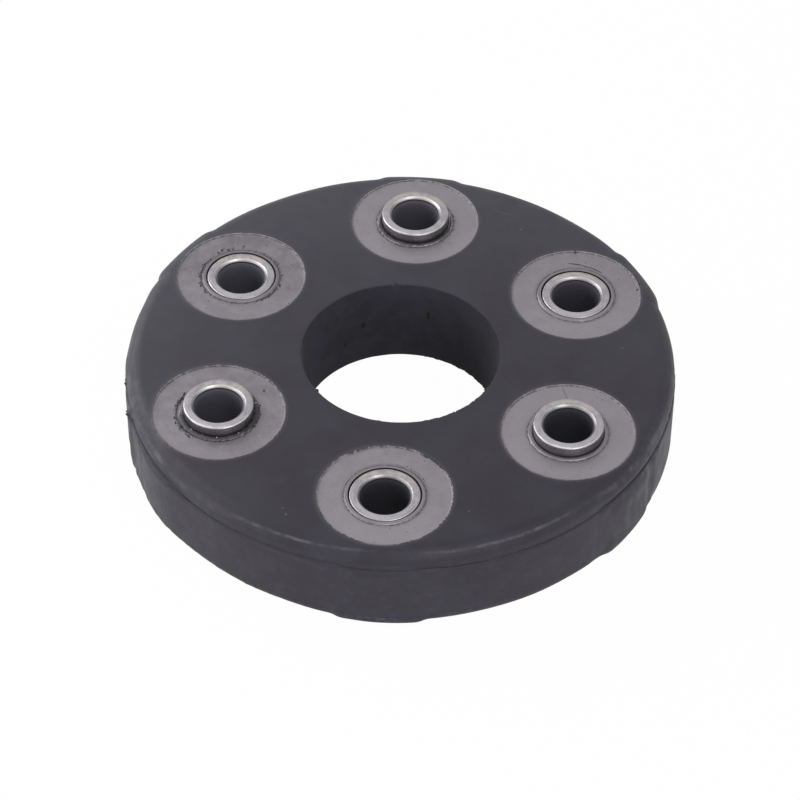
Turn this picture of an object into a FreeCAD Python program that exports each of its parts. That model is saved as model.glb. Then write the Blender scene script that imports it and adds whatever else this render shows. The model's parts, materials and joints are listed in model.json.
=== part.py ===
import FreeCAD, Part
import math
import os
import Sketcher

# Driveshaft flex disc. The rubber is moulded round six steel sleeves. Each sleeve carries a flanged
# collar at either end and a spacer disc at mid height. Six cord loops carry the pull between
# neighbouring sleeves, three in the upper deck and three in the lower one, turn and turn about.
# The frame has its origin at the middle of the disc, with +Z up the driveshaft axis.

BOLTS = 6
STEP_DEG = 360.0 / BOLTS
FIRST_DEG = 30.0

SIZES = [
    ("pitch_radius", 50.0, "bolt circle radius"),
    ("body_thickness", 25.0, "rubber, face to face"),
    ("rim_cover", 2.8, "rubber between a collar and the wall below the parting line"),
    ("upper_setback", 0.35, "how far the wall above the parting line stands back"),
    ("opening_radius", 25.0, "centre opening"),
    ("opening_chamfer", 0.4, "edge of the centre opening"),
    ("shoulder_round", 4.0, "rounding of the upper outer edge"),
    ("foot_round", 3.4, "rounding of the lower outer edge"),
    ("parting_drop", 5.6, "parting line below the upper face"),
    ("parting_depth", 0.3, "groove over the parting line, radial"),
    ("parting_width", 0.5, "groove over the parting line, along the axis"),
    ("pad_height", 0.9, "how far each pad stands out of the wall"),
    ("pad_width", 17.0, "full height part of a pad, across"),
    ("pad_ease", 2.0, "how much softer than the shoulder a pad's crest bends in"),
    ("pad_root", 4.0, "bend at the foot of a pad's flank"),
    ("sleeve_bore", 6.1, "bolt hole radius"),
    ("sleeve_wall", 2.65, "sleeve wall"),
    ("sleeve_reach", 2.8, "how far a sleeve stands out of the rubber at one end"),
    ("mouth_chamfer", 0.7, "chamfer at a sleeve's bore"),
    ("rim_chamfer", 0.25, "chamfer outside a sleeve's end"),
    ("flange_radius", 16.9, "collar flange"),
    ("flange_thickness", 2.0, "collar flange"),
    ("flange_sink", 0.3, "collar face below the rubber face"),
    ("bead_width", 0.7, "raised edge of a collar flange"),
    ("bead_top", 0.3, "flat on top of that edge"),
    ("lip_width", 1.0, "raised lip round the collar's hole"),
    ("lip_slope", 0.25, "slope outside that lip, and the gap inside it"),
    ("hub_wall", 2.6, "collar hub between sleeve and cord"),
    ("spacer_thickness", 1.6, "disc between the two cord decks"),
    ("cord_thickness", 3.9, "cord loop, radial"),
    ("cord_round", 1.2, "rounding of a cord loop's outer edges"),
    ("spacer_lap", 0.15, "how far a spacer disc reaches past the cord round its sleeve"),
]

# Sizes that follow from the driving ones.
DERIVED = [
    ("half_thickness", "body_thickness / 2"),
    ("body_radius", "pitch_radius + flange_radius + rim_cover"),
    ("parting_level", "half_thickness - parting_drop"),
    ("groove_level", "parting_level + parting_width"),
    ("groove_inset", "upper_setback + parting_depth"),
    ("pad_radius", "body_radius + pad_height"),
    ("pad_bend", "shoulder_round + pad_ease"),
    ("bend_centre", "pad_radius - pad_bend"),
    ("root_centre", "body_radius + pad_root"),
    ("crest_turn", "asin(pad_width / 2 / pad_radius) / 1deg"),
    ("flank_run", "pad_bend + pad_root"),
    ("flank_squares", "bend_centre^2 + root_centre^2 - flank_run^2"),
    ("flank_turn", "acos(flank_squares / (2 * bend_centre * root_centre)) / 1deg"),
    ("root_turn", "crest_turn + flank_turn"),
    ("sleeve_radius", "sleeve_bore + sleeve_wall"),
    ("sleeve_length", "body_thickness + sleeve_reach"),
    ("hub_radius", "sleeve_radius + hub_wall"),
    ("flange_face", "half_thickness - flange_sink"),
    ("flange_under", "flange_face - flange_thickness"),
    ("lip_inside", "sleeve_radius + lip_slope"),
    ("lip_outside", "lip_inside + lip_width"),
    ("deck_floor", "spacer_thickness / 2"),
    ("deck_height", "flange_under - deck_floor"),
    ("cord_radius", "hub_radius + cord_thickness"),
    ("spacer_radius", "cord_radius + spacer_lap"),
    ("chord_half", "pitch_radius * sin({0})".format(STEP_DEG / 2)),
    ("chord_reach", "pitch_radius * cos({0})".format(STEP_DEG / 2)),
]


def make_sheet(doc):
    """The spreadsheet that holds every size: plain numbers first, then what follows from them."""
    sheet = doc.addObject("Spreadsheet::Sheet", "sizes")
    row = 1
    for name, number, note in SIZES:
        sheet.set("A{0}".format(row), note)
        sheet.set("B{0}".format(row), str(number))
        sheet.setAlias("B{0}".format(row), name)
        row += 1
    for name, formula in DERIVED:
        sheet.set("A{0}".format(row), name.replace("_", " "))
        sheet.set("B{0}".format(row), "=" + formula)
        sheet.setAlias("B{0}".format(row), name)
        row += 1
    doc.recompute()
    return sheet


doc = FreeCAD.newDocument("flex_disc")
sheet = make_sheet(doc)


def value(expression):
    """The number that an expression of sheet sizes has now."""
    return float(sheet.evalExpression(expression))


def bind(obj, prop, expression):
    """Tie one property to the sheet. Each size's name in the expression is looked up there."""
    obj.setExpression(prop, in_sheet(expression))


def in_sheet(expression):
    """The same expression with the sheet's name put before each size, as a property needs it."""
    words = [entry[0] for entry in SIZES + DERIVED]
    out = ""
    word = ""
    for letter in expression + " ":
        if letter.isalnum() or letter == "_":
            word += letter
            continue
        out += ("sizes." + word) if word in words else word
        out += letter
        word = ""
    return out.strip()


def origin_part(body, role):
    """A body's own origin plane or axis."""
    for feature in body.Origin.OriginFeatures:
        if feature.Role == role:
            return feature
    raise RuntimeError("no origin feature " + role)


def new_body(name):
    body = doc.addObject("PartDesign::Body", name)
    body.Label = name
    return body


def new_sketch(body, name, role):
    sketch = body.newObject("Sketcher::SketchObject", name)
    sketch.AttachmentSupport = [(origin_part(body, role), "")]
    sketch.MapMode = "FlatFace"
    return sketch


def pin_point(sketch, geometry, end, across, along):
    """Hold one point of a sketch at the place that two expressions give."""
    for kind, expression in (("DistanceX", across), ("DistanceY", along)):
        start = Sketcher.Constraint(kind, -1, 1, geometry, end, value(expression))
        index = sketch.addConstraint(start)
        sketch.setExpression("Constraints[{0}]".format(index), in_sheet(expression))


def draw_outline(sketch, corners):
    """A closed run of straight lines whose corners are pairs of expressions."""
    places = [FreeCAD.Vector(value(a), value(b), 0) for a, b in corners]
    count = len(places)
    for i in range(count):
        sketch.addGeometry(Part.LineSegment(places[i], places[(i + 1) % count]), False)
    for i in range(count):
        sketch.addConstraint(Sketcher.Constraint("Coincident", i, 2, (i + 1) % count, 1))
    for i in range(count):
        pin_point(sketch, i, 1, corners[i][0], corners[i][1])


def draw_circle(sketch, radius):
    """A circle about the sketch's origin."""
    circle = Part.Circle(FreeCAD.Vector(0, 0, 0), FreeCAD.Vector(0, 0, 1), value(radius))
    index = sketch.addGeometry(circle, False)
    sketch.addConstraint(Sketcher.Constraint("Coincident", index, 3, -1, 1))
    size = sketch.addConstraint(Sketcher.Constraint("Radius", index, value(radius)))
    sketch.setExpression("Constraints[{0}]".format(size), in_sheet(radius))


def draw_line(sketch, from_x, from_y, to_x, to_y):
    """A straight line between two points."""
    line = Part.LineSegment(FreeCAD.Vector(from_x, from_y, 0), FreeCAD.Vector(to_x, to_y, 0))
    return sketch.addGeometry(line, False)


def draw_racetrack(sketch, reach, radius):
    """Two half circles at either end of the X axis, joined by two tangent lines."""
    far = value(reach)
    size = value(radius)
    up = FreeCAD.Vector(0, 0, 1)
    right = Part.Circle(FreeCAD.Vector(far, 0, 0), up, size)
    left = Part.Circle(FreeCAD.Vector(-far, 0, 0), up, size)
    first = sketch.addGeometry(Part.ArcOfCircle(right, -math.pi / 2, math.pi / 2), False)
    top = draw_line(sketch, far, size, -far, size)
    second = sketch.addGeometry(Part.ArcOfCircle(left, math.pi / 2, 3 * math.pi / 2), False)
    low = draw_line(sketch, -far, -size, far, -size)
    for one, two in ((first, top), (top, second), (second, low), (low, first)):
        sketch.addConstraint(Sketcher.Constraint("Tangent", one, 2, two, 1))
    sketch.addConstraint(Sketcher.Constraint("Equal", first, second))
    hold = sketch.addConstraint(Sketcher.Constraint("Radius", first, size))
    sketch.setExpression("Constraints[{0}]".format(hold), in_sheet(radius))
    for arc, expression in ((first, reach), (second, "-" + reach)):
        sketch.addConstraint(Sketcher.Constraint("PointOnObject", arc, 3, -1))
        start = Sketcher.Constraint("DistanceX", -1, 1, arc, 3, value(expression))
        index = sketch.addConstraint(start)
        sketch.setExpression("Constraints[{0}]".format(index), in_sheet(expression))


def revolve(body, sketch, name):
    turn = body.newObject("PartDesign::Revolution", name)
    turn.Profile = sketch
    turn.ReferenceAxis = (sketch, ["V_Axis"])
    turn.Angle = 360.0
    doc.recompute()
    return turn


def pad(body, sketch, name, length):
    block = body.newObject("PartDesign::Pad", name)
    block.Profile = sketch
    bind(block, "Length", length)
    doc.recompute()
    return block


def ring_edges(feature, radius, level):
    """Names of a feature's circular edges of this radius at this height in the body's own frame."""
    found = []
    for number, edge in enumerate(feature.Shape.Edges, 1):
        curve = edge.Curve
        if not isinstance(curve, Part.Circle):
            continue
        if abs(curve.Radius - value(radius)) < 1e-4 and abs(curve.Center.z - value(level)) < 1e-4:
            found.append("Edge{0}".format(number))
    return found


def trim_edges(body, base, name, kind, size, rings):
    """A Fillet or Chamfer of one size on the circular edges that rings names."""
    names = []
    for radius, level in rings:
        names += ring_edges(base, radius, level)
    if len(names) != len(rings):
        raise RuntimeError("{0}: found {1} edges for {2} rings".format(name, len(names), len(rings)))
    feature = body.newObject("PartDesign::" + kind, name)
    feature.Base = (base, names)
    bind(feature, "Radius" if kind == "Fillet" else "Size", size)
    doc.recompute()
    return feature


def place(obj, reach, bearing, level="0", spin=0.0, flipped=False):
    """Put an object at a bearing round the axis, turned about Z and, if flipped, upside down."""
    obj.Placement = FreeCAD.Placement(
        FreeCAD.Vector(0, 0, 0),
        FreeCAD.Rotation(FreeCAD.Vector(0, 0, 1), spin)
        * FreeCAD.Rotation(FreeCAD.Vector(1, 0, 0), 180.0 if flipped else 0.0),
    )
    bind(obj, "Placement.Base.x", "{0} * cos({1})".format(reach, bearing))
    bind(obj, "Placement.Base.y", "{0} * sin({1})".format(reach, bearing))
    bind(obj, "Placement.Base.z", level)


# Steel sleeve: a turned tube as long as the rubber is thick, plus its reach at one end.
def make_sleeve(name, bearing, raised):
    body = new_body(name)
    sketch = new_sketch(body, name + "_section", "XY_Plane")
    draw_circle(sketch, "sleeve_radius")
    draw_circle(sketch, "sleeve_bore")
    tube = pad(body, sketch, name + "_tube", "sleeve_length")
    mouths = [("sleeve_bore", "0"), ("sleeve_bore", "sleeve_length")]
    bored = trim_edges(body, tube, name + "_mouths", "Chamfer", "mouth_chamfer", mouths)
    rims = [("sleeve_radius", "0"), ("sleeve_radius", "sleeve_length")]
    trim_edges(body, bored, name + "_rims", "Chamfer", "rim_chamfer", rims)
    start = "-half_thickness" if raised else "-half_thickness - sleeve_reach"
    place(body, "pitch_radius", bearing, start)
    return body


# Collar: a flange that the cord bears against, with a hub that fills the sleeve's deck. A bead
# runs round the flange, and a lip round its hole, with a fine gap between lip and sleeve.
def make_collar(name, bearing, upper):
    body = new_body(name)
    sketch = new_sketch(body, name + "_half_section", "XZ_Plane")
    draw_outline(sketch, [
        ("sleeve_radius", "deck_floor"),
        ("hub_radius", "deck_floor"),
        ("hub_radius", "flange_under"),
        ("flange_radius", "flange_under"),
        ("flange_radius", "half_thickness"),
        ("flange_radius - bead_top", "half_thickness"),
        ("flange_radius - bead_width", "flange_face"),
        ("lip_outside", "flange_face"),
        ("lip_outside - lip_slope", "half_thickness"),
        ("lip_inside", "half_thickness"),
        ("sleeve_radius", "half_thickness - 2 * lip_slope"),
    ])
    revolve(body, sketch, name + "_turned")
    place(body, "pitch_radius", bearing, spin=bearing, flipped=not upper)
    return body


# Spacer: a flat disc on the sleeve that keeps the two decks of cord apart.
def make_spacer(name, bearing):
    body = new_body(name)
    sketch = new_sketch(body, name + "_section", "XY_Plane")
    draw_circle(sketch, "spacer_radius")
    draw_circle(sketch, "sleeve_radius")
    pad(body, sketch, name + "_disc", "spacer_thickness")
    place(body, "pitch_radius", bearing, "-deck_floor")
    return body


# Cord loop: a flat winding round the hubs of two neighbouring sleeves, as high as its deck.
def make_cord_loop(name, bearing, upper):
    body = new_body(name)
    sketch = new_sketch(body, name + "_track", "XY_Plane")
    draw_racetrack(sketch, "chord_half", "cord_radius")
    draw_racetrack(sketch, "chord_half", "hub_radius")
    winding = pad(body, sketch, name + "_winding", "deck_height")
    corners = []
    for number, edge in enumerate(winding.Shape.Edges, 1):
        box = edge.BoundBox
        level = abs(box.ZMax - box.ZMin) < 1e-6
        outside = max(abs(box.YMax), abs(box.YMin)) > value("cord_radius") - 1e-4
        if level and outside:
            corners.append("Edge{0}".format(number))
    rounded = body.newObject("PartDesign::Fillet", name + "_edges")
    rounded.Base = (winding, corners)
    bind(rounded, "Radius", "cord_round")
    doc.recompute()
    level = "deck_floor" if upper else "-deck_floor"
    place(body, "chord_reach", bearing, level, spin=bearing + 90.0, flipped=not upper)
    return body


def polar(reach, turn):
    """The point at a distance from the axis and at an angle, in degrees, from +X."""
    angle = math.radians(turn)
    return FreeCAD.Vector(reach * math.cos(angle), reach * math.sin(angle), 0)


def draw_arc(sketch, centre, radius, start, end, about_axis):
    """An anticlockwise arc between two angles in degrees, its radius tied to the sheet."""
    circle = Part.Circle(centre, FreeCAD.Vector(0, 0, 1), value(radius))
    index = sketch.addGeometry(Part.ArcOfCircle(circle, math.radians(start), math.radians(end)), False)
    if about_axis:
        sketch.addConstraint(Sketcher.Constraint("Coincident", index, 3, -1, 1))
    hold = sketch.addConstraint(Sketcher.Constraint("Radius", index, value(radius)))
    sketch.setExpression("Constraints[{0}]".format(hold), in_sheet(radius))
    return index


def hold_end(sketch, arc, end, radius, turn):
    """Hold an arc's end at an angle about the axis by the coordinate that turns faster there."""
    sideways = abs(math.cos(math.radians(value(turn)))) > math.sqrt(0.5)
    kind = "DistanceY" if sideways else "DistanceX"
    rule = "({0}) * {1}({2})".format(radius, "sin" if sideways else "cos", turn)
    index = sketch.addConstraint(Sketcher.Constraint(kind, -1, 1, arc, end, value(rule)))
    sketch.setExpression("Constraints[{0}]".format(index), in_sheet(rule))


# Outline of the moulding, seen along the axis: a circle with a pad beside each sleeve. A pad's crest
# runs into the wall through a soft bend and a tighter root, which bend opposite ways. An inset moves
# the whole line inward.
def draw_lobed_outline(sketch, inset):
    wall = "body_radius - ({0})".format(inset)
    crest = "pad_radius - ({0})".format(inset)
    bend = "pad_bend - ({0})".format(inset)
    root = "pad_root + ({0})".format(inset)
    crest_turn = value("crest_turn")
    root_turn = value("root_turn")
    axis = polar(0, 0)
    line = []
    for i in range(BOLTS):
        middle = STEP_DEG * i
        for side in (-1, 1):
            bend_turn = middle + side * crest_turn
            back_turn = middle + side * root_turn
            bend_centre = polar(value("bend_centre"), bend_turn)
            root_centre = polar(value("root_centre"), back_turn)
            across = root_centre - bend_centre
            meet = math.degrees(math.atan2(across.y, across.x))
            if side < 0:
                low = draw_arc(sketch, root_centre, root, meet - 180, back_turn - 180, False)
                high = draw_arc(sketch, bend_centre, bend, meet, bend_turn, False)
                top = draw_arc(sketch, axis, crest, bend_turn, middle + crest_turn, True)
                hold_end(sketch, top, 1, crest, "{0} - crest_turn".format(middle))
                hold_end(sketch, top, 2, crest, "{0} + crest_turn".format(middle))
                line += [(low, 2, 1), (high, 1, 2), (top, 1, 2)]
            else:
                high = draw_arc(sketch, bend_centre, bend, bend_turn, meet, False)
                low = draw_arc(sketch, root_centre, root, back_turn - 180, meet - 180, False)
                rest = draw_arc(sketch, axis, wall, back_turn, middle + STEP_DEG - root_turn, True)
                line += [(high, 1, 2), (low, 2, 1), (rest, 1, 2)]
    for one, two in zip(line, line[1:] + line[:1]):
        sketch.addConstraint(Sketcher.Constraint("Tangent", one[0], one[2], two[0], two[1]))


def make_block(body, name, inset, floor, height):
    """A layer of the moulding with the lobed outline, from its floor up."""
    sketch = new_sketch(body, name + "_outline", "XY_Plane")
    bind(sketch, "AttachmentOffset.Base.z", floor)
    draw_lobed_outline(sketch, inset)
    return pad(body, sketch, name, height)


def outer_edges(feature, level):
    """Names of a feature's level edges at one height, outside the sleeves' circle."""
    found = []
    for number, edge in enumerate(feature.Shape.Edges, 1):
        box = edge.BoundBox
        here = edge.valueAt(edge.FirstParameter)
        level_edge = abs(box.ZMax - value(level)) < 1e-4 and abs(box.ZMin - value(level)) < 1e-4
        if level_edge and math.hypot(here.x, here.y) > value("pitch_radius"):
            found.append("Edge{0}".format(number))
    return found


def round_outline(body, base, name, radius, level):
    feature = body.newObject("PartDesign::Fillet", name)
    feature.Base = (base, outer_edges(base, level))
    bind(feature, "Radius", radius)
    doc.recompute()
    return feature


# Moulded form of the rubber, as if it were solid: the wall below the parting line, a fine neck that
# leaves a groove where the mould halves met, and the wall above, which stands back a little.
def make_form():
    body = new_body("moulded_form")
    make_block(body, "lower_wall", "0", "-half_thickness", "half_thickness + parting_level")
    make_block(body, "parting_neck", "groove_inset", "parting_level", "parting_width")
    upper = make_block(body, "upper_wall", "upper_setback", "groove_level", "parting_drop - parting_width")
    shoulder = round_outline(body, upper, "shoulder", "shoulder_round", "half_thickness")
    foot = round_outline(body, shoulder, "foot", "foot_round", "-half_thickness")
    sketch = new_sketch(body, "opening_circle", "XY_Plane")
    bind(sketch, "AttachmentOffset.Base.z", "half_thickness")
    draw_circle(sketch, "opening_radius")
    opening = body.newObject("PartDesign::Pocket", "opening")
    opening.Profile = sketch
    bind(opening, "Length", "body_thickness")
    doc.recompute()
    if opening.Shape.Volume >= foot.Shape.Volume:
        raise RuntimeError("the centre opening cuts nothing")
    mouths = [("opening_radius", "-half_thickness"), ("opening_radius", "half_thickness")]
    trim_edges(body, opening, "opening_mouths", "Chamfer", "opening_chamfer", mouths)
    body.Placement = FreeCAD.Placement(
        FreeCAD.Vector(0, 0, 0), FreeCAD.Rotation(FreeCAD.Vector(0, 0, 1), FIRST_DEG)
    )
    return body


def make_cylinder(name, radius, height, level, bearing):
    rod = doc.addObject("Part::Cylinder", name)
    bind(rod, "Radius", radius)
    bind(rod, "Height", height)
    place(rod, "pitch_radius", bearing, level)
    return rod


# Room for the inserts: what the steel and the cord take out of the rubber at each sleeve.
def make_insert_room(loops):
    recess = "flange_thickness + 2 * flange_sink"
    rooms = [
        ("hub_room", "hub_radius", "2 * flange_under", "-flange_under"),
        ("spacer_room", "spacer_radius", "spacer_thickness", "-deck_floor"),
        ("upper_flange_room", "flange_radius", recess, "flange_under"),
        ("lower_flange_room", "flange_radius", recess, "-flange_under - (" + recess + ")"),
    ]
    parts = list(loops)
    for i in range(BOLTS):
        for name, radius, height, level in rooms:
            label = "{0}_{1}".format(name, i + 1)
            parts.append(make_cylinder(label, radius, height, level, FIRST_DEG + STEP_DEG * i))
    room = doc.addObject("Part::MultiFuse", "insert_room")
    room.Shapes = parts
    room.Refine = True
    return room


# Rubber body: the moulded form with its six pads, less the room for the inserts.
def make_rubber(loops):
    rubber = doc.addObject("Part::Cut", "rubber_body")
    rubber.Base = make_form()
    rubber.Tool = make_insert_room(loops)
    rubber.Refine = True
    rubber.Label = "rubber_body"
    return rubber


def build():
    """All sub-parts, in the order in which the real disc goes together."""
    pieces = []
    loops = []
    for i in range(BOLTS):
        bearing = FIRST_DEG + STEP_DEG * i
        raised = i % 2 == 1
        number = i + 1
        pieces.append(make_sleeve("sleeve_{0}".format(number), bearing, raised))
        pieces.append(make_collar("upper_collar_{0}".format(number), bearing, True))
        pieces.append(make_collar("lower_collar_{0}".format(number), bearing, False))
        pieces.append(make_spacer("spacer_disc_{0}".format(number), bearing))
        following = number % BOLTS + 1
        name = "cord_loop_{0}_{1}".format(number, following)
        loops.append(make_cord_loop(name, bearing + STEP_DEG / 2, i % 2 == 0))
    pieces += loops
    pieces.append(make_rubber(loops))
    doc.recompute()
    return pieces


def check(pieces):
    """Stop before anything is written if an object failed or a piece is not one sound solid."""
    for obj in doc.Objects:
        if "Invalid" in obj.State or "Error" in obj.State:
            raise RuntimeError("{0} failed: {1}".format(obj.Name, obj.State))
    for piece in pieces:
        shape = piece.Shape
        if shape.isNull() or not shape.isValid() or len(shape.Solids) != 1:
            raise RuntimeError("{0} is not one sound solid".format(piece.Label))


def write(pieces):
    os.makedirs("parts", exist_ok=True)
    for piece in pieces:
        piece.Shape.exportStep("parts/{0}.step".format(piece.Label))
        print("{0}: {1:.1f} mm3".format(piece.Label, piece.Shape.Volume))


pieces = build()
check(pieces)
write(pieces)
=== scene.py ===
import json
import math

import bmesh
import bpy
import numpy as np
from mathutils import Matrix, Vector, noise
from mathutils.geometry import delaunay_2d_cdt
from mathutils.kdtree import KDTree


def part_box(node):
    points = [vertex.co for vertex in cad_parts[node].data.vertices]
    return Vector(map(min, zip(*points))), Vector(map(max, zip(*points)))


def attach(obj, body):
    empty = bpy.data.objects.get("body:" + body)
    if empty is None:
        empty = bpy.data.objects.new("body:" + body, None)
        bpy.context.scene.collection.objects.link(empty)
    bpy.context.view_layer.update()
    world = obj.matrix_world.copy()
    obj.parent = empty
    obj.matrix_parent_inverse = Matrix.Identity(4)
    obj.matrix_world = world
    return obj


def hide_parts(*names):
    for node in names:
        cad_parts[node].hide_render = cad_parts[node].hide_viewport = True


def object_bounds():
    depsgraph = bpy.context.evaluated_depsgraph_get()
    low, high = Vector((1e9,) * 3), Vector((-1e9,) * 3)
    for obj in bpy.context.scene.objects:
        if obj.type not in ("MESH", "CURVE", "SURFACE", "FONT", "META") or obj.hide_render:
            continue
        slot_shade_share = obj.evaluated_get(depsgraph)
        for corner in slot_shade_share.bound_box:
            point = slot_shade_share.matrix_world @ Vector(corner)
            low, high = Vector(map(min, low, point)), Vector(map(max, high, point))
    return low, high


# Looks of the driveshaft flex disc. Lengths are in mm until a mesh is made, bearings in degrees
# round the disc's axis, where 270 faces the camera.

MM = 0.001

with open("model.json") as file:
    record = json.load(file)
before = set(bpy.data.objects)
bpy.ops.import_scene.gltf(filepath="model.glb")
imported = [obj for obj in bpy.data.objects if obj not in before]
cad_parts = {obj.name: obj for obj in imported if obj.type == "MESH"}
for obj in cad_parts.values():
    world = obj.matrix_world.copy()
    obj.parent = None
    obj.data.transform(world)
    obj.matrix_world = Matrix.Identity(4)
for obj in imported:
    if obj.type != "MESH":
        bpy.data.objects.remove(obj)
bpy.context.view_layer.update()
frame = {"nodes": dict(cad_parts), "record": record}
mounts = {mount["name"]: mount for mount in frame["record"]["mounts"]}

COUNT = mounts["bolt_circle"]["dims"]["count"]
PITCH = mounts["bolt_circle"]["dims"]["pcd_mm"] / 2
BORE = mounts["bolt_circle"]["dims"]["hole_r_mm"]
OPENING = mounts["centre_opening"]["dims"]["r_mm"]
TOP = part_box("rubber_body")[1].z / MM
SLEEVE = (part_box("sleeve_1")[1].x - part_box("sleeve_1")[0].x) / 2 / MM
COLLAR = (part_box("upper_collar_1")[1].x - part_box("upper_collar_1")[0].x) / 2 / MM
STEP = 360 / COUNT
FIRST_BEARING = 30
BEARINGS = [FIRST_BEARING + STEP * i for i in range(COUNT)]
CENTRES = [(PITCH * math.cos(math.radians(b)), PITCH * math.sin(math.radians(b))) for b in BEARINGS]
SEAT_MIDDLES = CENTRES + [(0.0, 0.0)]

# The part's own sizes that the frame doesn't give, repeated from its source.
WALL_RADIUS = 69.7
WALL_SETBACK = 0.35
SHOULDER = 4.0
FOOT = 3.4
GROOVE_TOP = 7.4
GROOVE_LOW = 6.9
GROOVE_DEPTH = 0.3
PAD_RADIUS = 70.6
PAD_WIDTH = 17.0
PAD_BEND = 6.0
PAD_ROOT = 4.0
OPENING_CHAMFER = 0.4
MOUTH_CHAMFER = 0.7
RIM_CHAMFER = 0.25
FLANGE_FACE = 12.2
FLANGE_UNDER = 10.2
BEAD_WIDTH = 0.7
BEAD_TOP = 0.3
LIP_WIDTH = 1.0
LIP_SLOPE = 0.25
HUB = 11.35
HUB_END = 0.8
BEAD_START = COLLAR - BEAD_WIDTH
LIP_FOOT = SLEEVE + LIP_SLOPE + LIP_WIDTH
MOUTH = BORE + MOUTH_CHAMFER

# What only the looks need.
WALL_CLEAR = 0.06
FRONT = 270.0
LOW_PADS = 0.35  # share of the front pads' height that stands above the parting line
LOW_PADS_END = (71.0, 79.0)  # degrees from the front over which that share rises to 1
FRONT_FOOT_LESS = 1.0
FRONT_FOOT_SPREAD = 16.0
FRONT_PAD_SPREAD = 9.0
SEAT_CLEAR = 0.02
FILM = 0.07  # how far the rubber rises towards a collar, and how far from it
FILM_REACH = 0.45
SEAM_INSET = 2.6  # where the wall's rings end and a face's triangles start
RIM_DEPTH = 1.4  # how far down the opening's wall its torn rim reaches
RIM_BEVEL = 0.12
SLEEVE_FORM = (0.09, 2.0)  # size of the small rounds, and the longest straight run between points
COLLAR_FORM = (0.08, 1.5)
ROUND_STEPS = 720
HOLE_STEPS = 480
OPENING_STEPS = 480
LATHE_STEPS = 192
SIDES = ((True, 1), (False, -1))  # the upper and the lower side, and the sign of their levels


def polar(radius, bearing):
    turn = np.radians(bearing)
    return np.stack([radius * np.cos(turn), radius * np.sin(turn)], axis=-1)


def bearing_at(x, y):
    return np.degrees(np.arctan2(y, x)) % 360


def even_turns(count):
    return np.arange(count) * 360 / count


def off_bearing(bearing, at):
    """Degrees from one bearing to another, from -180 to 180."""
    return (bearing - at + 180) % 360 - 180


def smooth_step(value, low, high):
    part = np.clip((value - low) / (high - low), 0.0, 1.0)
    return part * part * (3.0 - 2.0 * part)


def between(value, low, full, still, high):
    """1 from full to still, falling off smoothly to 0 at low and at high."""
    return smooth_step(value, low, full) * (1 - smooth_step(value, still, high))


def bell(value, middle, width, power=2):
    """1 at the middle and falling off about a width away, more squarely at a higher power."""
    return np.exp(-((value - middle) / width) ** power)


def wander(points, size, shift):
    """Smooth noise from about -1 to 1 at each point, with waves of this size; shift picks the run."""
    offset = Vector((shift * 17.3, shift * -5.1, shift * 9.7))
    return np.array([noise.noise(Vector(p) / size + offset) for p in points.tolist()])


def round_wander(bearings, waves, shift):
    """Smooth noise that closes on itself round a circle."""
    turn = np.radians(bearings)
    points = np.stack([np.cos(turn), np.sin(turn), np.zeros_like(turn)], axis=-1)
    return wander(points, 1.0 / waves, shift)


# Outline of the rubber in plan: a circle with one padded lobe beside each sleeve.
BEND_CENTRE = PAD_RADIUS - PAD_BEND
ROOT_CENTRE = WALL_RADIUS + PAD_ROOT
CREST_TURN = math.asin(PAD_WIDTH / 2 / PAD_RADIUS)
ROOT_TURN = CREST_TURN + math.acos(
    (BEND_CENTRE ** 2 + ROOT_CENTRE ** 2 - (PAD_BEND + PAD_ROOT) ** 2) / (2 * BEND_CENTRE * ROOT_CENTRE)
)
BEND_AT = np.array([math.cos(CREST_TURN), math.sin(CREST_TURN)]) * BEND_CENTRE
ROOT_AT = np.array([math.cos(ROOT_TURN), math.sin(ROOT_TURN)]) * ROOT_CENTRE


def pad_turn(bearing):
    """Angle in radians from the nearest pad's middle."""
    off = (np.asarray(bearing) - BEARINGS[0] + STEP / 2) % STEP - STEP / 2
    return np.radians(np.abs(off))


def outline_radius(bearing, inset):
    """Radius of the outline drawn in by inset, at a bearing."""
    turn = pad_turn(bearing)
    along = (ROOT_AT - BEND_AT) / (PAD_BEND + PAD_ROOT)
    touch = BEND_AT + np.outer(PAD_BEND - np.broadcast_to(inset, turn.shape), along)
    touch_turn = np.arctan2(touch[:, 1], touch[:, 0])
    off_bend = turn - CREST_TURN
    off_root = ROOT_TURN - turn
    bend_rise = np.sqrt(np.maximum((PAD_BEND - inset) ** 2 - (BEND_CENTRE * np.sin(off_bend)) ** 2, 0))
    root_drop = np.sqrt(np.maximum((PAD_ROOT + inset) ** 2 - (ROOT_CENTRE * np.sin(off_root)) ** 2, 0))
    on_bend = BEND_CENTRE * np.cos(off_bend) + bend_rise
    on_root = ROOT_CENTRE * np.cos(off_root) - root_drop
    radius = np.where(turn <= touch_turn, on_bend, on_root)
    radius = np.where(turn <= CREST_TURN, PAD_RADIUS - inset, radius)
    return np.where(turn >= ROOT_TURN, WALL_RADIUS - inset, radius)


def pad_share(bearing):
    """How much of the pads' height stands above the parting line: less on the front ones."""
    off = np.abs(off_bearing(np.asarray(bearing), FRONT))
    return LOW_PADS + (1 - LOW_PADS) * smooth_step(off, *LOW_PADS_END)


def ring_radius(bearing, inset, share):
    """Outline drawn in by inset, with only a share of the pads' height."""
    plain = WALL_RADIUS - inset
    return plain + share * (outline_radius(bearing, inset) - plain)


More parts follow.
